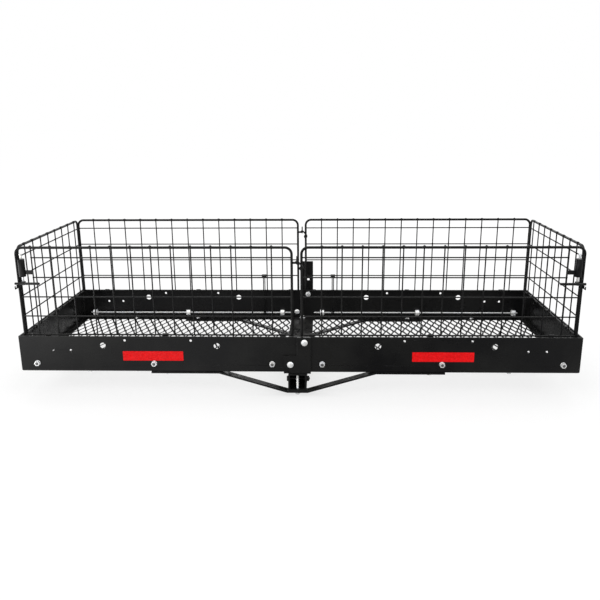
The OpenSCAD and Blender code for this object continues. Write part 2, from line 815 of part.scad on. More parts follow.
// Twin wires from eyes on the tie rod up to the clip
module stay(x) {
    wire_y = panel_y - stay_y;
    rod_axis_y = half_w - eye_inset;
    top = stay_wire_z - stay_head[2] / 2;
    for (s = [-stay_half, stay_half]) translate([x + s, 0, 0]) {
        translate([0, rod_axis_y, tie_rod_z]) rotate([0, 90, 0])
            rotate_extrude() translate([stay_eye_r, 0]) circle(d = stay_d);
        rod_y(0, wire_y, rod_axis_y - stay_eye_r + 0.6, tie_rod_z, stay_d);
        translate([0, wire_y, tie_rod_z]) sphere(d = stay_d);
        rod_z(0, wire_y, tie_rod_z, top - eps, stay_d);
    }
    rod_x(x - stay_half, x + stay_half, wire_y, tie_rod_z + 40, stay_d);
}

// Clip on top of a stay; its mouth opens towards the panel and takes the lowest cross wire
module stay_clip(x) {
    back = panel_y - stay_y - 2.4;
    mouth_h = wire_d + 0.6;
    translate([x - stay_head[0] / 2, back, stay_wire_z - stay_head[2] / 2]) difference() {
        cube(stay_head);
        translate([-1, panel_y - back - wire_d / 2 - 0.3, (stay_head[2] - mouth_h) / 2])
            cube([stay_head[0] + 2, stay_head[1], mouth_h]);
    }
}

module stay_left() color(black) in_tray() stay(stay_xs[0]);
module stay_right() color(black) in_tray() stay(stay_xs[1]);
module stay_clip_left() color(black) in_tray() stay_clip(stay_xs[0]);
module stay_clip_right() color(black) in_tray() stay_clip(stay_xs[1]);

rear_rail_left();
rear_rail_right();
front_rail_left();
front_rail_right();
end_rail_left();
end_rail_right();
cross_rail_left();
cross_rail_right();
floor_mesh_left();
floor_mesh_right();
cradle();
hitch_bar();
rear_brace();
front_brace();
splice_bolts();
splice_nuts();
bar_bolts();
bar_washers();
bar_nuts();
cross_bolt();
cross_nut();
brace_bolts();
brace_nuts();
floor_bolts();
floor_nuts();
reflector_left();
reflector_right();
tie_rods();
eye_bolts();
eye_washers();
eye_nuts();
rear_panel_left();
rear_panel_right();
front_panel_left();
front_panel_right();
end_panel_left();
end_panel_right();
rear_hinge_clips();
front_clips();
end_clips();
rear_hook();
rear_hook_pin();
rear_hook_peg();
front_hook();
front_hook_pin();
front_hook_peg();
latch_barrel_left();
latch_barrel_right();
latch_rod_left();
latch_rod_right();
latch_bar_left();
latch_bar_right();
latch_keeper_left();
latch_keeper_right();
stay_left();
stay_right();
stay_clip_left();
stay_clip_right();
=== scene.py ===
"""Looks of the hitch cargo carrier: powder-coated steel tray, welded wire sides, zinc hardware.

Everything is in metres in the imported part's frame: the origin is the hitch pin hole, +Y points at
the vehicle, +Z is up. Lengths that read better in millimetres are written as N * MM.
"""

import json
import math
import random

import bmesh
import bpy
from mathutils import Matrix, Vector


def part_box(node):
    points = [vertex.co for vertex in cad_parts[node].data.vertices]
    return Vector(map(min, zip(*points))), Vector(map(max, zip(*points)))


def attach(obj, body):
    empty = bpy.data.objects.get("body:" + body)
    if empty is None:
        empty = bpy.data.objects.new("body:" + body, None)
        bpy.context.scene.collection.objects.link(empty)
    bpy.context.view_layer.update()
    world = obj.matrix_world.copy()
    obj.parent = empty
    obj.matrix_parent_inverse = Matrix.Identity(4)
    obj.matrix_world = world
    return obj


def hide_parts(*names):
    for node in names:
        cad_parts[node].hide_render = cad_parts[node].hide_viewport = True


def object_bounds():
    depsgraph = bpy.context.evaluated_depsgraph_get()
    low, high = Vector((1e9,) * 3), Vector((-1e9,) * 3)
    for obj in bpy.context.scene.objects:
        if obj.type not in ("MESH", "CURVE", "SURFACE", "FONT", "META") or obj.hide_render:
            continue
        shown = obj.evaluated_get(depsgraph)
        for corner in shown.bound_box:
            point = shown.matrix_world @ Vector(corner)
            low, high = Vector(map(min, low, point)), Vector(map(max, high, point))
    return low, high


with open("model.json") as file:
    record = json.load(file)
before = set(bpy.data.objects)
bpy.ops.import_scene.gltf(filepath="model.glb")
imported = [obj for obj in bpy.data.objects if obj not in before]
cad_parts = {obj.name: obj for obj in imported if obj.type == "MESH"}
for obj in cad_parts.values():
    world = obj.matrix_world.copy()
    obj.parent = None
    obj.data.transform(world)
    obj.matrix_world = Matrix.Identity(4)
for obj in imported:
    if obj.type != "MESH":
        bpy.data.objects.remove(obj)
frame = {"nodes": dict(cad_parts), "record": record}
CAD_LOW, CAD_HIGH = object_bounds()

MM = 0.001
SEED = 7
SHARP = math.radians(35)

# ---- Places taken from the frame ----

NODES = frame["nodes"]
SLOT_OF = {part["node"]: part["material_slot"] for part in frame["record"]["subparts"]}


def solids(node):
    """Lowest and highest corner of each separate solid of a CAD node, from left to right."""
    bm = bmesh.new()
    bm.from_mesh(NODES[node].data)
    bmesh.ops.remove_doubles(bm, verts=bm.verts, dist=0.001 * MM)
    left = set(bm.verts)
    boxes = []
    while left:
        stack = [left.pop()]
        points = []
        while stack:
            vert = stack.pop()
            points.append(vert.co.copy())
            for edge in vert.link_edges:
                other = edge.other_vert(vert)
                if other in left:
                    left.remove(other)
                    stack.append(other)
        low = Vector([min(p[i] for p in points) for i in range(3)])
        high = Vector([max(p[i] for p in points) for i in range(3)])
        boxes.append((low, high))
    bm.free()
    return sorted(boxes, key=lambda box: [round(v, 5) for v in box[0]])


# ---- Node trees ----


class Tree:
    """A material's node tree with a short way to add a node and wire its inputs."""

    def __init__(self, name):
        self.material = bpy.data.materials.new(name)
        self.material.use_nodes = True
        self.nodes = self.material.node_tree.nodes
        self.links = self.material.node_tree.links
        self.shader = self.nodes["Principled BSDF"]
        self.place = self.add("TexCoord").outputs["Object"]

    def add(self, kind, inputs=None, **settings):
        node = self.nodes.new("ShaderNode" + kind)
        for name, value in settings.items():
            setattr(node, name, value)
        for name, value in (inputs or {}).items():
            self.wire(node.inputs[name], value)
        return node

    def wire(self, socket, value):
        if isinstance(value, bpy.types.NodeSocket):
            self.links.new(value, socket)
        else:
            socket.default_value = value

    def noise(self, scale, detail=3.0, rough=0.55, vector=None):
        """Noise value in 0..1; scale is in waves per metre."""
        inputs = {"Vector": vector or self.place, "Scale": scale, "Detail": detail, "Roughness": rough}
        return self.add("TexNoise", inputs).outputs["Fac"]

    def remap(self, value, low, high, out_low=0.0, out_high=1.0):
        """Eased step from out_low to out_high as value goes from low to high."""
        inputs = {0: value, 1: low, 2: high, 3: out_low, 4: out_high}
        return self.add("MapRange", inputs, interpolation_type="SMOOTHSTEP").outputs["Result"]

    def math(self, operation, a, b):
        """Two values put together by one arithmetic operation."""
        return self.add("Math", {0: a, 1: b}, operation=operation).outputs[0]

    def mix(self, share, a, b):
        """Colour a with the given share of colour b laid over it."""
        inputs = {0: share, 6: a, 7: b}
        return self.add("Mix", inputs, data_type="RGBA").outputs[2]

    def bump(self, height, distance, strength=1.0, normal=None):
        inputs = {"Height": height, "Distance": distance, "Strength": strength}
        if normal is not None:
            inputs["Normal"] = normal
        return self.add("Bump", inputs).outputs["Normal"]

    def edges(self, radius):
        """1 on the edges that a brush or a strap rubs, 0 on flat faces."""
        soft = self.add("Bevel", {"Radius": radius}, samples=4).outputs["Normal"]
        true = self.add("NewGeometry").outputs["Normal"]
        dot = self.add("VectorMath", {0: soft, 1: true}, operation="DOT_PRODUCT").outputs["Value"]
        return self.remap(self.math("SUBTRACT", 1.0, dot), 0.03, 0.25)

    def upward(self):
        """1 on faces that look up, 0 on the rest."""
        normal = self.add("NewGeometry").outputs["Normal"]
        up = self.add("SeparateXYZ", {"Vector": normal}).outputs["Z"]
        return self.remap(up, 0.6, 0.95)

    def finish(self, **inputs):
        """Wires the surface shader's inputs and hands back the finished material."""
        for name, value in inputs.items():
            self.wire(self.shader.inputs[name.replace("_", " ")], value)
        return self.material


# ---- Materials ----


def rgb(r, g, b):
    return (r, g, b, 1.0)


def powder_coat(name, tone, gloss, smooth_rough, matt_rough, peel, dust, wear):
    """Baked black powder: orange peel, a cloudy sheen, dust on top faces and rubbed edges."""
    t = Tree(name)
    cloud = t.noise(5.0, 5.0, 0.6)
    deep = rgb(tone * 0.7, tone * 0.7, tone * 0.75)
    light = rgb(tone * 1.5, tone * 1.5, tone * 1.45)
    base = t.mix(t.remap(cloud, 0.35, 0.7), deep, light)
    specks = t.remap(t.noise(900.0, 2.0), 0.62, 0.75)
    base = t.mix(t.math("MULTIPLY", specks, 0.25), base, rgb(0.05, 0.05, 0.052))
    dusty = t.math("MULTIPLY", t.upward(), t.remap(t.noise(38.0, 6.0, 0.7), 0.42, 0.78))
    base = t.mix(t.math("MULTIPLY", dusty, dust), base, rgb(0.22, 0.21, 0.19))
    rubbed = t.math("MULTIPLY", t.edges(0.9 * MM), t.remap(t.noise(60.0, 4.0), 0.45, 0.7))
    rubbed = t.math("MULTIPLY", rubbed, wear)
    base = t.mix(rubbed, base, rgb(0.16, 0.16, 0.165))
    sheen = t.remap(t.noise(14.0, 6.0, 0.65), 0.3, 0.75, smooth_rough, matt_rough)
    rough = t.math("ADD", sheen, t.math("MULTIPLY", dusty, 0.2))
    ripple = t.bump(t.noise(430.0, 2.0, 0.4), peel, 0.8)
    grit = t.bump(t.noise(2400.0, 1.0), peel * 0.25, 0.5, ripple)
    return t.finish(Base_Color=base, Roughness=rough, Specular_IOR_Level=gloss, Normal=grit)


def zinc_plate(name, level):
    """Zinc with cool and straw patches, fine drawing marks and soft blooms; level dims its colour."""

    def tint(r, g, b):
        return rgb(r * level, g * level, b * level)

    t = Tree(name)
    patch = t.remap(t.noise(70.0, 4.0, 0.6), 0.35, 0.65)
    base = t.mix(patch, tint(0.86, 0.88, 0.92), tint(0.92, 0.91, 0.87))
    bloom = t.remap(t.noise(240.0, 4.0, 0.7), 0.55, 0.8)
    base = t.mix(t.math("MULTIPLY", bloom, 0.35), base, tint(0.55, 0.56, 0.58))
    rough = t.remap(t.noise(150.0, 5.0, 0.6), 0.25, 0.75, 0.18, 0.38)
    marks = t.bump(t.noise(1500.0, 3.0, 0.6), 0.02 * MM, 0.6)
    return t.finish(Base_Color=base, Metallic=0.55, Roughness=rough, Normal=marks)


def reflector_film(name):
    """Red prismatic film under a clear layer: each cell's red is a painted glint that differs from
    cell to cell, and a faint emission paints the glow of light sent back.
    """
    t = Tree(name)
    cells = t.add("TexVoronoi", {"Vector": t.place, "Scale": 330.0})
    # Painted glints: the red of each cell is lighter or darker as if it caught the light differently
    tint = t.add("SeparateColor", {"Color": cells.outputs["Color"]}).outputs[0]
    base = t.mix(tint, rgb(0.52, 0.002, 0.003), rgb(0.68, 0.006, 0.008))
    scuff = t.remap(t.noise(220.0, 6.0, 0.7), 0.6, 0.8)
    rough = t.math("ADD", 0.2, t.math("MULTIPLY", scuff, 0.25))
    film = t.bump(cells.outputs["Distance"], 0.05 * MM, 0.5)
    # The emission is a painted glow for the light that the film sends back
    return t.finish(
        Base_Color=base, Roughness=rough, Normal=film, Specular_IOR_Level=0.12, Coat_Weight=0.05,
        Coat_Roughness=0.15, Emission_Color=base, Emission_Strength=0.10,
    )


MATERIALS = {
    "powder_black": powder_coat("powder_black", 0.007, 0.18, 0.22, 0.36, 0.05 * MM, 0.10, 0.5),
    "mesh_black": powder_coat("mesh_black", 0.005, 0.10, 0.34, 0.50, 0.06 * MM, 0.04, 0.3),
    "wire_black": powder_coat("wire_black", 0.006, 0.16, 0.30, 0.42, 0.03 * MM, 0.03, 0.3),
    "zinc": zinc_plate("zinc", 1.0),
    "zinc_dull": zinc_plate("zinc_dull", 0.6),
    # A much darker copy of zinc, used as painted shade on the eye bolt shanks
    "zinc_painted_shade": zinc_plate("zinc_painted_shade", 0.14),
    "reflector_red": reflector_film("reflector_red"),
}


# ---- Mesh building ----


def piece(name, bm, slot, body, *stands_for, finish=None):
    """Turns a bmesh into a piece that rides on a body and takes a finish, its slot's by default."""
    bmesh.ops.recalc_face_normals(bm, faces=bm.faces)
    for face in bm.faces:
        face.smooth = True
    for edge in bm.edges:
        edge.smooth = len(edge.link_faces) == 2 and edge.calc_face_angle(0.0) < SHARP
    mesh = bpy.data.meshes.new(name)
    bm.to_mesh(mesh)
    bm.free()
    mesh.materials.append(MATERIALS[finish or slot])
    obj = bpy.data.objects.new(name, mesh)
    bpy.context.scene.collection.objects.link(obj)
    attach(obj, body)
    if stands_for:
        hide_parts(*stands_for)


def skin(bm, rings, place, loop=False):
    """Quads between rings of points; the two ends are capped unless the rings form a loop."""
    rows = [[bm.verts.new(place @ Vector(p)) for p in ring] for ring in rings]
    count = len(rows[0])
    pairs = list(zip(rows, rows[1:]))
    if loop:
        pairs.append((rows[-1], rows[0]))
    for lower, upper in pairs:
        for i in range(count):
            j = (i + 1) % count
            bm.faces.new((lower[i], lower[j], upper[j], upper[i]))
    if not loop:
        bm.faces.new(rows[0][::-1])
        bm.faces.new(rows[-1])


def ring(radius, z, count):
    """Points of a level circle, anticlockwise from +X."""
    turn = 2 * math.pi / count
    return [(radius * math.cos(i * turn), radius * math.sin(i * turn), z) for i in range(count)]


def lathe(bm, profile, place, count=28):
    """Solid of revolution about Z from (radius, height) pairs, lowest first."""
    skin(bm, [ring(r, z, count) for r, z in profile], place)


def pointing(at, direction):
    """Placement whose local +Z looks along direction."""
    return Matrix.Translation(at) @ Vector(direction).to_track_quat("Z", "Y").to_matrix().to_4x4()


# ---- Fasteners: local +Z points out of the head or out of the nut's free face ----


def thread(bm, d, z0, z1, place):
    """Threaded rod from z0 up to z1, with a real helix and a chamfered free end at z0."""
    pitch = 0.156 * d
    depth = 0.075 * d
    count = 20
    steps = 4
    rings = []
    rows = int((z1 - z0) / pitch * steps)
    for row in range(rows + 1):
        z = z0 + (z1 - z0) * row / rows
        chamfer = min(1.0, 0.72 + 0.28 * (z - z0) / pitch)
        points = []
        for i in range(count):
            phase = ((z - z0) / pitch - i / count) % 1.0
            radius = (d / 2 - depth * abs(2 * phase - 1)) * chamfer
            angle = 2 * math.pi * i / count
            points.append((radius * math.cos(angle), radius * math.sin(angle), z))
        rings.append(points)
    skin(bm, rings, place)


def dome_head(bm, head_d, head_h, place):
    """Mushroom head of a carriage bolt with a rolled rim."""
    profile = [(head_d * 0.47, 0.0), (head_d * 0.5, head_h * 0.1), (head_d * 0.495, head_h * 0.22)]
    steps = 7
    for i in range(1, steps):
        angle = 0.5 * math.pi * i / steps
        radius = head_d * 0.49 * math.cos(angle) ** 0.8
        profile.append((radius, head_h * (0.22 + 0.78 * math.sin(angle))))
    profile.append((head_d * 0.04, head_h))
    lathe(bm, profile, place)


def hex_radius(af, angle):
    """Distance from the centre to a hexagon's side of width af across flats."""
    sector = math.pi / 3
    return af / 2 / math.cos((angle % sector) - sector / 2)


def hex_rings(af, z0, z1, chamfer_low, chamfer_high):
    """Rings of a hexagon whose corners are turned down at the chosen ends, lowest first."""
    count = 48
    flat_r = af / 2 * 0.96
    slope = math.tan(math.radians(28))
    angles = [2 * math.pi * i / count for i in range(count)]
    low, high = [], []
    for a in angles:
        r = hex_radius(af, a)
        drop = (r - flat_r) * slope
        low.append((r * math.cos(a), r * math.sin(a), z0 + drop * chamfer_low))
        high.append((r * math.cos(a), r * math.sin(a), z1 - drop * chamfer_high))
    rings = [low, high]
    if chamfer_low:
        rings.insert(0, ring(flat_r, z0, count))
    if chamfer_high:
        rings.append(ring(flat_r, z1, count))
    return rings


def hex_head(bm, af, head_h, place):
    """Forged hexagon head with a washer face and a shallow dished top."""
    count = 48
    rings = [ring(af * 0.46, 0.0, count), ring(af * 0.46, head_h * 0.08, count)]
    rings += hex_rings(af, head_h * 0.08, head_h, 0, 1)
    rings.append(ring(af * 0.36, head_h * 0.93, count))
    skin(bm, rings, place)


def nut(bm, af, h, d, place):
    """Chamfered hexagon nut with countersunk mouths round its bore."""
    count = 48
    outer = hex_rings(af, 0.0, h, 1, 1)
    inner = [ring(d * 0.58, h, count), ring(d * 0.5, h - d * 0.08, count)]
    inner += [ring(d * 0.5, d * 0.08, count), ring(d * 0.58, 0.0, count)]
    skin(bm, outer + inner, place, loop=True)


def washer(bm, od, hole, t, place):
    """Stamped washer: a rolled edge on one side, a sharp one on the other."""
    count = 36
    edge = t * 0.3
    profile = [(hole / 2, 0.0), (od / 2, 0.0), (od / 2, t - edge), (od / 2 - edge, t)]
    profile += [(hole / 2 + edge, t), (hole / 2, t - edge)]
    skin(bm, [ring(r, z, count) for r, z in profile], place, loop=True)


X, Y, Z = 0, 1, 2
UP, DOWN = 1, -1
MID_Y = sum(corner.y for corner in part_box("cradle")) / 2
M8 = 8 * MM
M6 = 6 * MM
M8_HEAD_H = 5 * MM
M6_HEAD_H = 3.3 * MM
M8_WASHER_HOLE = 8.4 * MM
# Share of a bolt's shank that has no thread, and how far solids run into each other
PLAIN_SHARE = 0.35
LAP = 0.1 * MM


def along(axis, side):
    """Unit vector along an axis, to the given side of it."""
    direction = Vector((0, 0, 0))
    direction[axis] = side
    return direction


def bolts(name, axis, head_side, head, head_d, head_h, d):
    """Replaces a CAD node of bolts: one detailed bolt per solid, head on the chosen side."""
    bm = bmesh.new()
    for low, high in solids(name):
        length = high[axis] - low[axis] - head_h
        at = (low + high) / 2
        at[axis] = high[axis] - head_h if head_side > 0 else low[axis] + head_h
        place = pointing(at, along(axis, head_side))
        head(bm, head_d, head_h, place)
        plain = length * PLAIN_SHARE
        lathe(bm, [(d / 2, -plain), (d / 2, LAP)], place)
        thread(bm, d, -length, -plain + LAP, place)
    piece(name + "_detail", bm, SLOT_OF[name], "carrier", name)


def seats(name, axis, outward):
    """For each solid of a node: its size, its thickness and its place on the face that it seats on."""
    for low, high in solids(name):
        size = high - low
        at = (low + high) / 2
        side = outward(at)
        at[axis] = low[axis] if side > 0 else high[axis]
        yield size, size[axis], pointing(at, along(axis, side))


def nuts(name, axis, d, outward):
    """Replaces a CAD node of nuts; outward gives the side that the free face looks to."""
    bm = bmesh.new()
    for size, height, place in seats(name, axis, outward):
        across = min(size[i] for i in (X, Y, Z) if i != axis)
        nut(bm, across, height, d, place)
    piece(name + "_detail", bm, SLOT_OF[name], "carrier", name)


def washers(name, axis, hole, outward):
    """Replaces a CAD node of washers; outward gives the side that the rolled edge looks to."""
    bm = bmesh.new()
    for size, height, place in seats(name, axis, outward):
        washer(bm, max(size), hole, height, place)
    piece(name + "_detail", bm, SLOT_OF[name], "carrier", name)


def away_from_middle(centre):
    """1 for a fastener in the front rail, -1 for one in the rear rail."""
    return 1 if centre.y > MID_Y else -1


def upward(centre):
    return UP


def downward(centre):
    return DOWN


def build_fasteners():
    bolts("splice_bolts", Y, -1, dome_head, 18 * MM, M8_HEAD_H, M8)
    bolts("bar_bolts", Z, UP, hex_head, 13 * MM, M8_HEAD_H, M8)
    bolts("cross_bolt", X, -1, hex_head, 13 * MM, M8_HEAD_H, M8)
    bolts("brace_bolts", Z, UP, dome_head, 14 * MM, M6_HEAD_H, M6)
    bolts("floor_bolts", Z, UP, dome_head, 14 * MM, M6_HEAD_H, M6)
    nuts("splice_nuts", Y, M8, lambda centre: 1)
    nuts("bar_nuts", Z, M8, downward)
    nuts("cross_nut", X, M8, lambda centre: 1)
    nuts("brace_nuts", Z, M6, downward)
    nuts("floor_nuts", Z, M6, downward)
    nuts("eye_nuts", Y, M8, away_from_middle)
    washers("bar_washers", Z, M8_WASHER_HOLE, upward)
    washers("eye_washers", Y, M8_WASHER_HOLE, away_from_middle)


EYE_BOSS_R = 10 * MM
# Where a shank's thread starts, behind the tie rod's axis
EYE_THREAD_Z = -13 * MM
# Collar between the shank and the boss, as (radius, height) pairs
EYE_COLLAR = [
    (4 * MM, EYE_THREAD_Z - LAP), (4 * MM, -12.2 * MM), (6.4 * MM, -11.9 * MM),
    (6.4 * MM, -10.4 * MM), (5 * MM, -8.8 * MM), (4.6 * MM, -6 * MM),
]


def eye_boss_rings():
    """Turned boss with broken outer edges and a countersunk bore, as rings along its axis."""
    half = 7 * MM
    bore_r = 2.8 * MM
    edge = 1.2 * MM
    sink = 0.6 * MM
    profile = [(bore_r + sink, -half), (EYE_BOSS_R - edge, -half), (EYE_BOSS_R, edge - half)]
    profile += [(EYE_BOSS_R, half - edge), (EYE_BOSS_R - edge, half), (bore_r + sink, half)]
    profile += [(bore_r, half - sink), (bore_r, sink - half)]
    return [ring(r, z, 32) for r, z in profile]


def build_eye_bolts():
    """Turned bosses that hold the tie rods, on threaded shanks that leave through the rails; the
    shanks' much darker zinc is painted shade for their thread grooves and ends.
    """
    bm = bmesh.new()
    shanks = bmesh.new()
    for low, high in solids("eye_bolts"):
        centre = (low + high) / 2
        side = away_from_middle(centre)
        eye_y = (low.y if side > 0 else high.y) + side * EYE_BOSS_R
        end_y = high.y if side > 0 else low.y
        eye = Vector((centre.x, eye_y, centre.z))
        skin(bm, eye_boss_rings(), pointing(eye, (1, 0, 0)), loop=True)
        place = pointing(eye, (0, -side, 0))
        thread(shanks, M8, -abs(end_y - eye_y), EYE_THREAD_Z, place)
        lathe(bm, EYE_COLLAR, place)
    piece("eye_bolts_detail", bm, "zinc", "carrier", "eye_bolts")
    # The shanks take the darker zinc copy: painted shade for their grooves and ends
    piece("eye_bolt_shanks", shanks, "zinc", "carrier", finish="zinc_painted_shade")


# ---- Floor: raised expanded steel ----

DIAMOND_W = 26 * MM
DIAMOND_L = 62 * MM
STRAND_W = 5.0 * MM
STRAND_T = 1.25 * MM
STRAND_TILT = math.radians(9.0)
# Half length of a bond, where two strands run side by side, and of the bends at its ends
BOND_HALF = 4.2 * MM
BEND = 1.1 * MM
# The strands stop this far inside the sheet's front and rear edges
SHEET_MARGIN = 1 * MM


def strand_corners():
    """Outline of a tilted strand in the XZ plane."""
    cos, sin = math.cos(STRAND_TILT), math.sin(STRAND_TILT)
    half_w, half_t = STRAND_W / 2, STRAND_T / 2
    corners = [(-half_w, -half_t), (half_w, -half_t), (half_w, half_t), (-half_w, half_t)]
    return [(u * cos - v * sin, u * sin + v * cos) for u, v in corners]


def strand_wave(y0, y1, offset):
    """(y, swing) along a strand: swing is +1 at a bond on its right and -1 at one on its left."""
    half = DIAMOND_L / 2
    stations = []
    first = math.floor((y0 - offset) / half) - 1
    last = math.ceil((y1 - offset) / half) + 1
    for k in range(first, last + 1):
        at = offset + k * half
        swing = 1.0 if k % 2 == 0 else -1.0
        slope = 2.0 / (half - 2 * BOND_HALF)
        eased = swing * (1 - slope * BEND)
        stations += [(at - BOND_HALF - BEND, eased), (at - BOND_HALF + BEND, swing)]
        stations += [(at + BOND_HALF - BEND, swing), (at + BOND_HALF + BEND, eased)]
    clipped = []
    for (ya, sa), (yb, sb) in zip(stations, stations[1:]):
        if yb <= y0 or ya >= y1:
            continue
        for y in (max(ya, y0), min(yb, y1)):
            swing = sa + (sb - sa) * (y - ya) / (yb - ya)
            if not clipped or y - clipped[-1][0] > 0.01 * MM:
                clipped.append((y, swing))
    return clipped


def build_floor(side):
    """Zigzag strands side by side, each one swinging to meet its neighbours at the bonds."""
    low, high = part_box("floor_mesh_" + side)
    mid_z = (low.z + high.z) / 2
    outline = strand_corners()
    swing_x = (DIAMOND_W / 2 - STRAND_W * math.cos(STRAND_TILT)) / 2
    swing_z = STRAND_W * math.sin(STRAND_TILT) / 2
    reach = swing_x + STRAND_W / 2
    count = int((high.x - low.x - 2 * reach) / (DIAMOND_W / 2)) + 1
    spare = (high.x - low.x) - 2 * reach - (count - 1) * DIAMOND_W / 2
    bm = bmesh.new()
    for k in range(count):
        x = low.x + spare / 2 + reach + k * DIAMOND_W / 2
        offset = MID_Y + (k % 2) * DIAMOND_L / 2
        rings = []
        for y, swing in strand_wave(low.y + SHEET_MARGIN, high.y - SHEET_MARGIN, offset):
            cx = x + swing_x * swing
            cz = mid_z - swing_z * swing
            rings.append([(cx + u, y, cz + v) for u, v in outline])
        skin(bm, rings, Matrix.Identity(4))
    piece("floor_sheet_" + side, bm, "mesh_black", "carrier", "floor_mesh_" + side)


# ---- Welds ----


def blob(bm, at, sizes, rand):
    """Small lump of weld metal, never quite round."""
    wobble = Vector((rand.uniform(0.85, 1.15), rand.uniform(0.85, 1.15), rand.uniform(0.85, 1.15)))
    scale = Matrix.Diagonal((*[s * w for s, w in zip(sizes, wobble)], 1.0))
    profile = [(math.cos(a), math.sin(a)) for a in [-1.35, -0.7, 0.0, 0.7, 1.35]]
    turn = Matrix.Rotation(rand.uniform(0, math.pi), 4, "Z")
    lathe(bm, profile, Matrix.Translation(at) @ scale @ turn, 9)


def bead(bm, start, end, radius, rand):
    """Rippled weld bead along a straight joint."""
    start, end = Vector(start), Vector(end)
    run = end - start
    ripple = 3.2 * MM
    rows = max(6, int(run.length / ripple * 4))
    place = pointing(start, run)
    rings = []
    for row in range(rows + 1):
        z = run.length * row / rows
        taper = min(1.0, 0.35 + 6 * min(row, rows - row) / rows)
        wave = 1 + 0.13 * math.sin(2 * math.pi * z / ripple) + rand.uniform(-0.04, 0.04)
        rings.append(ring(radius * taper * wave, z, 8))
    skin(bm, rings, place)


def build_corner_welds():
    """Inside the tray's corners, where an end rail's web meets a long rail's web."""
    rand = random.Random(SEED)
    low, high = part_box("end_rail_right")
    bead_r = 2.2 * MM
    inset = 3.6 * MM
    bottom_gap = 8 * MM
    top_gap = 3 * MM
    bm = bmesh.new()
    for sx in (-1, 1):
        for sy in (-1, 1):
            x = sx * (high.x - inset)
            y = MID_Y + sy * (high.y - MID_Y - inset)
            bead(bm, (x, y, low.z + bottom_gap), (x, y, high.z - top_gap), bead_r, rand)
    piece("corner_welds", bm, "powder_black", "carrier")


def build_floor_tacks():
    """Tack welds that hold the floor sheets on the flanges and to the cross rails."""
    rand = random.Random(SEED + 1)
    seam_tacks = 8
    seam_size = (3.4 * MM, 5 * MM, 1.7 * MM)
    edge_tacks = 11
    edge_size = (5 * MM, 3.2 * MM, 1.6 * MM)
    edge_inset = 3 * MM
    rise = 1.2 * MM
    for side, s in (("left", -1), ("right", 1)):
        low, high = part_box("floor_mesh_" + side)
        bm = bmesh.new()
        inner_x = high.x if s < 0 else low.x
        z = low.z + rise
        for i in range(seam_tacks):
            y = low.y + (high.y - low.y) * (i + 0.5) / seam_tacks
            blob(bm, (inner_x, y, z), seam_size, rand)
        for i in range(edge_tacks):
            x = low.x + (high.x - low.x) * (i + 0.5) / edge_tacks
            for y in (low.y + edge_inset, high.y - edge_inset):
                blob(bm, (x, y, z), edge_size, rand)
        piece("floor_tacks_" + side, bm, "mesh_black", "carrier")


def build_clip_welds():
    """A short bead down each side of every hinge clip's tab."""
    rand = random.Random(SEED + 2)
    bead_r = 1.3 * MM
    bead_l = 10 * MM
    inset = 1 * MM
    bm = bmesh.new()
    for name, axis in (("rear_hinge_clips", X), ("front_clips", X), ("end_clips", Y)):
        across = 1 - axis
        middle = MID_Y if across == Y else 0.0
        for low, high in solids(name):
            web = low[across] + inset if low[across] < middle else high[across] - inset
            for tab_edge in (low[axis], high[axis]):
                start = Vector((0, 0, low.z + inset))
                start[axis] = tab_edge
                start[across] = web
                end = start + Vector((0, 0, bead_l))
                bead(bm, start, end, bead_r, rand)
    piece("clip_welds", bm, "powder_black", "carrier")


# ---- Wire panels ----

FRAME_D = 7 * MM
HINGE_D = 4.4 * MM
PANEL_RISE = 241.6 * MM
ROW_PITCH = 54 * MM
END_PITCH = 54 * MM
REAR_PITCH = 53.5 * MM
FRONT_PITCH = 52.5 * MM
TOP_GAP = 27 * MM
ROWS = 4
LONG_UPRIGHTS = 13
END_UPRIGHTS = 8
# Half sizes of a weld nugget at a crossing of two wires, and of the bigger one on the top rod
NUGGET = (1.9 * MM, 1.9 * MM, 1.8 * MM)
TOP_NUGGET = (4.4 * MM, 4.2 * MM, 2.3 * MM)
# How far the nuggets stand off the rods' axes, towards the upright wires and up from the top rod
NUGGET_OFF = 1.6 * MM
TOP_NUGGET_RISE = FRAME_D / 2 - 0.8 * MM


def panel_levels(low):
    """Heights of the hinge rod, the cross wires and the top rod of a panel."""
    hinge = low.z + HINGE_D / 2
    top = hinge + PANEL_RISE
    return [hinge] + [top - TOP_GAP - row * ROW_PITCH for row in range(ROWS)] + [top]


def panel_welds(name, body, axis, uprights, toward):
    """Resistance weld nuggets where a panel's upright wires cross its rods and wires."""
    rand = random.Random(SEED + len(name))
    low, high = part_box(name)
    hinge, *wires, top = panel_levels(low)
    across = 1 - axis
    plane = (low[across] if toward > 0 else high[across]) + toward * FRAME_D / 2
    bm = bmesh.new()
    for upright in uprights:
        at = Vector((0, 0, 0))
        at[axis] = upright
        at[across] = plane + toward * NUGGET_OFF
        for level in (hinge, *wires):
            at.z = level
            blob(bm, at, NUGGET, rand)
        at.z = top + TOP_NUGGET_RISE
        blob(bm, at, TOP_NUGGET, rand)
    piece(name + "_welds", bm, "wire_black", body)


def build_panel_welds():
    """Weld nuggets of all six panels; the upright wires stand at even steps from the middle posts."""
    end_ys = [MID_Y + (i - (END_UPRIGHTS - 1) / 2) * END_PITCH for i in range(END_UPRIGHTS)]
    for side, s in (("left", -1), ("right", 1)):
        low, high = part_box("front_panel_" + side)
        post = (high.x if s < 0 else low.x) + s * FRAME_D / 2
        rear_xs = [post + s * REAR_PITCH * (i + 1) for i in range(LONG_UPRIGHTS)]
        front_xs = [post + s * FRONT_PITCH * (i + 1) for i in range(LONG_UPRIGHTS)]
        panel_welds("rear_panel_" + side, "rear_gate_" + side, X, rear_xs, 1)
        panel_welds("front_panel_" + side, "carrier", X, front_xs, -1)
        panel_welds("end_panel_" + side, "carrier", Y, end_ys, -s)


# ---- Reflectors ----


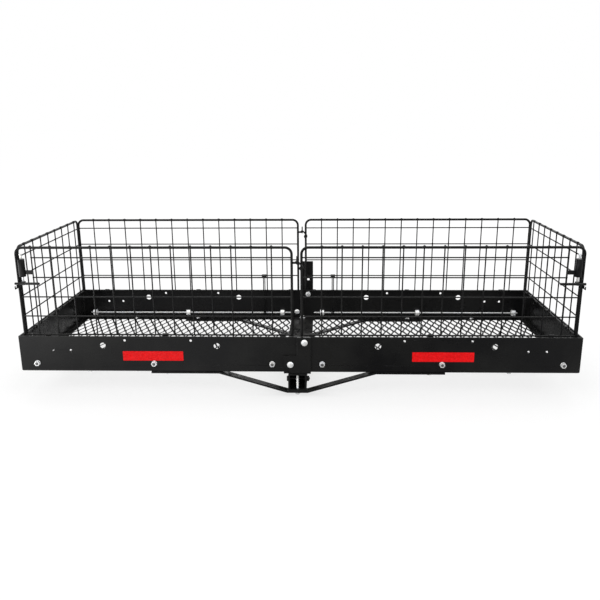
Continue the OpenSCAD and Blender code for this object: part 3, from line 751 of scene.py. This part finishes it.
def round_corners(low, high, radius):
    """Outline in the XZ plane of a box with round corners, anticlockwise from the right."""
    steps = 4
    corners = [(high.x, high.z), (low.x, high.z), (low.x, low.z), (high.x, low.z)]
    outline = []
    for quarter, (x, z) in enumerate(corners):
        cx = x - radius if x == high.x else x + radius
        cz = z - radius if z == high.z else z + radius
        for i in range(steps + 1):
            angle = math.pi / 2 * (quarter + i / steps)
            outline.append((cx + radius * math.cos(angle), cz + radius * math.sin(angle)))
    return outline


def build_reflector(side):
    """Film with round corners and a plain border round a field of raised hexagonal cells."""
    low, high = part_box("reflector_" + side)
    cell_h = 0.27 * MM
    back, face = high.y, low.y + 0.25 * MM
    border = 1.6 * MM
    cell = 3.1 * MM
    bm = bmesh.new()
    outline = round_corners(low, high, 1.5 * MM)
    rings = [[(x, y, z) for x, z in outline] for y in (back, face)]
    skin(bm, rings, Matrix.Identity(4))
    row_step = cell * math.sqrt(3) / 2
    rows = int((high.z - low.z - 2 * border - cell) / row_step) + 1
    cols = int((high.x - low.x - 2 * border - 1.5 * cell) / cell) + 1
    mid_x, mid_z = (low.x + high.x) / 2, (low.z + high.z) / 2
    tilt = Matrix.Rotation(math.radians(30), 4, "Z")
    base = ring(cell * 0.54, 0.0, 6)
    cap = ring(cell * 0.40, cell_h, 6)
    for row in range(rows):
        z = mid_z + (row - (rows - 1) / 2) * row_step
        for col in range(cols):
            x = mid_x + (col - (cols - 1) / 2 + (0.25 if row % 2 else -0.25)) * cell
            place = pointing((x, face + 0.05 * MM, z), (0, -1, 0))
            skin(bm, [base, cap], place @ tilt)
    piece("reflector_film_" + side, bm, "reflector_red", "carrier", "reflector_" + side)


# ---- CAD nodes that are shown as they are ----

BEVELS = {
    "powder_black": 0.35 * MM,
    "wire_black": 0.25 * MM,
    "mesh_black": 0.25 * MM,
    "zinc": 0.3 * MM,
}
# Words in the names of nodes made of round wire, which have no hard edges to break
ROUND_WIRE = ("panel", "stay_left", "stay_right", "tie_rods")
# Nodes with another finish than their slot's
OWN_FINISH = {"tie_rods": "zinc_dull"}


def dress_cad_nodes():
    """Gives every shown CAD node its finish, and breaks the hard edges of the flat-sided ones."""
    for name, obj in NODES.items():
        slot = SLOT_OF[name]
        obj.data.materials.clear()
        obj.data.materials.append(MATERIALS[OWN_FINISH.get(name, slot)])
        if obj.hide_render or any(word in name for word in ROUND_WIRE):
            continue
        weld = obj.modifiers.new("weld", "WELD")
        weld.merge_threshold = 0.001 * MM
        bevel = obj.modifiers.new("bevel", "BEVEL")
        bevel.width = BEVELS[slot]
        bevel.segments = 2
        bevel.limit_method = "ANGLE"
        bevel.angle_limit = math.radians(40)
        bevel.harden_normals = True


# ---- Stage: pale floor, soft lights, camera ----

# The floor's own tone and the glow added to it near the object; together they come close to white
FLOOR_TONE = 0.25
FLOOR_GLOW = 0.71
FLOOR_SIZE = 60.0


def floor_material():
    """Matt white that fades into the white surround; for reflections only it shows painted light and
    dark bands, lightest at the far left, that polished steel mirrors.
    """
    t = Tree("studio_floor")
    x = t.add("SeparateXYZ", {"Vector": t.place}).outputs["X"]
    radius = t.add("VectorMath", {0: t.place}, operation="LENGTH").outputs["Value"]
    # Painted reflection: a brightness only glossy rays see, high at the far left, low in the middle, a
    # little higher at the right
    left = t.remap(x, -0.40, 0.16, 0.95, 0.10)
    right = t.remap(x, 0.30, 0.90, 0.0, 0.35)
    corner = t.remap(x, -1.05, -0.65, 1.3, 0.0)
    painted_reflection = t.math("ADD", t.math("ADD", left, right), corner)
    glossy = t.add("LightPath").outputs["Is Glossy Ray"]
    seen = t.add("Mix", {0: glossy, 2: 1.0, 3: painted_reflection}, data_type="FLOAT").outputs[0]
    tone = t.math("MULTIPLY", seen, FLOOR_TONE)
    base = t.add("CombineColor", {"Red": tone, "Green": tone, "Blue": tone}).outputs["Color"]
    far = t.remap(radius, 1.2, 4.0, FLOOR_GLOW, 1.0 - FLOOR_TONE)
    glow = t.math("MULTIPLY", far, seen)
    return t.finish(
        Base_Color=base, Roughness=0.9, Specular_IOR_Level=0.0,
        Emission_Color=rgb(1.0, 1.0, 1.0), Emission_Strength=glow,
    )


def build_stage():
    bm = bmesh.new()
    bmesh.ops.create_grid(bm, x_segments=1, y_segments=1, size=FLOOR_SIZE / 2)
    mesh = bpy.data.meshes.new("studio_floor")
    bm.to_mesh(mesh)
    bm.free()
    floor = bpy.data.objects.new("studio_floor", mesh)
    floor.location = (0, MID_Y, CAD_LOW.z - 0.5 * MM)
    bpy.context.scene.collection.objects.link(floor)
    mesh.materials.append(floor_material())


def softbox(name, at, size_x, size_y, watts, target):
    """Rectangular area light that looks at the target."""
    light = bpy.data.lights.new(name, "AREA")
    light.shape = "RECTANGLE"
    light.size = size_x
    light.size_y = size_y
    light.energy = watts
    obj = bpy.data.objects.new(name, light)
    obj.matrix_world = pointing(at, Vector(at) - Vector(target))
    bpy.context.scene.collection.objects.link(obj)


def build_lights():
    middle = Vector((0, MID_Y, 0.1))
    softbox("key", middle + Vector((-2.4, -2.6, 2.2)), 1.8, 1.2, 34, middle)
    softbox("fill", middle + Vector((2.8, -1.8, 1.6)), 1.5, 1.5, 8, middle)
    softbox("overhead", middle + Vector((0, 0.2, 2.8)), 3.0, 1.8, 24, middle)
    softbox("back", middle + Vector((0.6, 3.0, 1.6)), 2.6, 1.0, 14, middle)


def build_world():
    """White for the camera and for soft fill; polished steel mirrors a dim room, bright above."""
    world = bpy.data.worlds.new("studio")
    bpy.context.scene.world = world
    world.use_nodes = True
    nodes, links = world.node_tree.nodes, world.node_tree.links
    path = nodes.new("ShaderNodeLightPath")
    place = nodes.new("ShaderNodeTexCoord")
    axes = nodes.new("ShaderNodeSeparateXYZ")
    links.new(place.outputs["Generated"], axes.inputs[0])
    room = nodes.new("ShaderNodeMapRange")
    links.new(axes.outputs["Z"], room.inputs["Value"])
    room.inputs["From Min"].default_value = -0.1
    room.inputs["From Max"].default_value = 0.7
    room.inputs["To Min"].default_value = 0.35
    room.inputs["To Max"].default_value = 1.5
    level = nodes.new("ShaderNodeMix")
    level.data_type = "FLOAT"
    links.new(path.outputs["Is Glossy Ray"], level.inputs[0])
    level.inputs[2].default_value = 1.0
    links.new(room.outputs["Result"], level.inputs[3])
    background = nodes["Background"]
    background.inputs["Color"].default_value = rgb(1.0, 1.0, 1.0)
    links.new(level.outputs[0], background.inputs["Strength"])
    bpy.context.scene.view_settings.view_transform = "Standard"


CAMERA_AT = Vector((0.0663, -2.4796, 0.7100))
CAMERA_YAW = math.radians(-1.914)
CAMERA_PITCH = math.radians(15.43)
CAMERA_ROLL = math.radians(-0.416)
CAMERA_LENS = 40.32


def build_camera():
    """Camera turned by yaw, then pitched down, then rolled about its own line of sight."""
    forward = Vector((
        math.sin(CAMERA_YAW) * math.cos(CAMERA_PITCH),
        math.cos(CAMERA_YAW) * math.cos(CAMERA_PITCH),
        -math.sin(CAMERA_PITCH),
    ))
    level_right = Vector((math.cos(CAMERA_YAW), -math.sin(CAMERA_YAW), 0))
    level_up = level_right.cross(forward)
    right = level_right * math.cos(CAMERA_ROLL) + level_up * math.sin(CAMERA_ROLL)
    up = level_up * math.cos(CAMERA_ROLL) - level_right * math.sin(CAMERA_ROLL)
    turn = Matrix((right, up, -forward)).transposed().to_4x4()
    data = bpy.data.cameras.new("camera")
    data.lens = CAMERA_LENS
    data.sensor_width = 36
    camera = bpy.data.objects.new("camera", data)
    camera.matrix_world = Matrix.Translation(CAMERA_AT) @ turn
    bpy.context.scene.collection.objects.link(camera)
    bpy.context.scene.camera = camera


def main():
    build_fasteners()
    build_eye_bolts()
    for side in ("left", "right"):
        build_floor(side)
        build_reflector(side)
    build_corner_welds()
    build_floor_tacks()
    build_clip_welds()
    build_panel_welds()
    dress_cad_nodes()
    build_stage()
    build_lights()
    build_world()
    build_camera()


main()
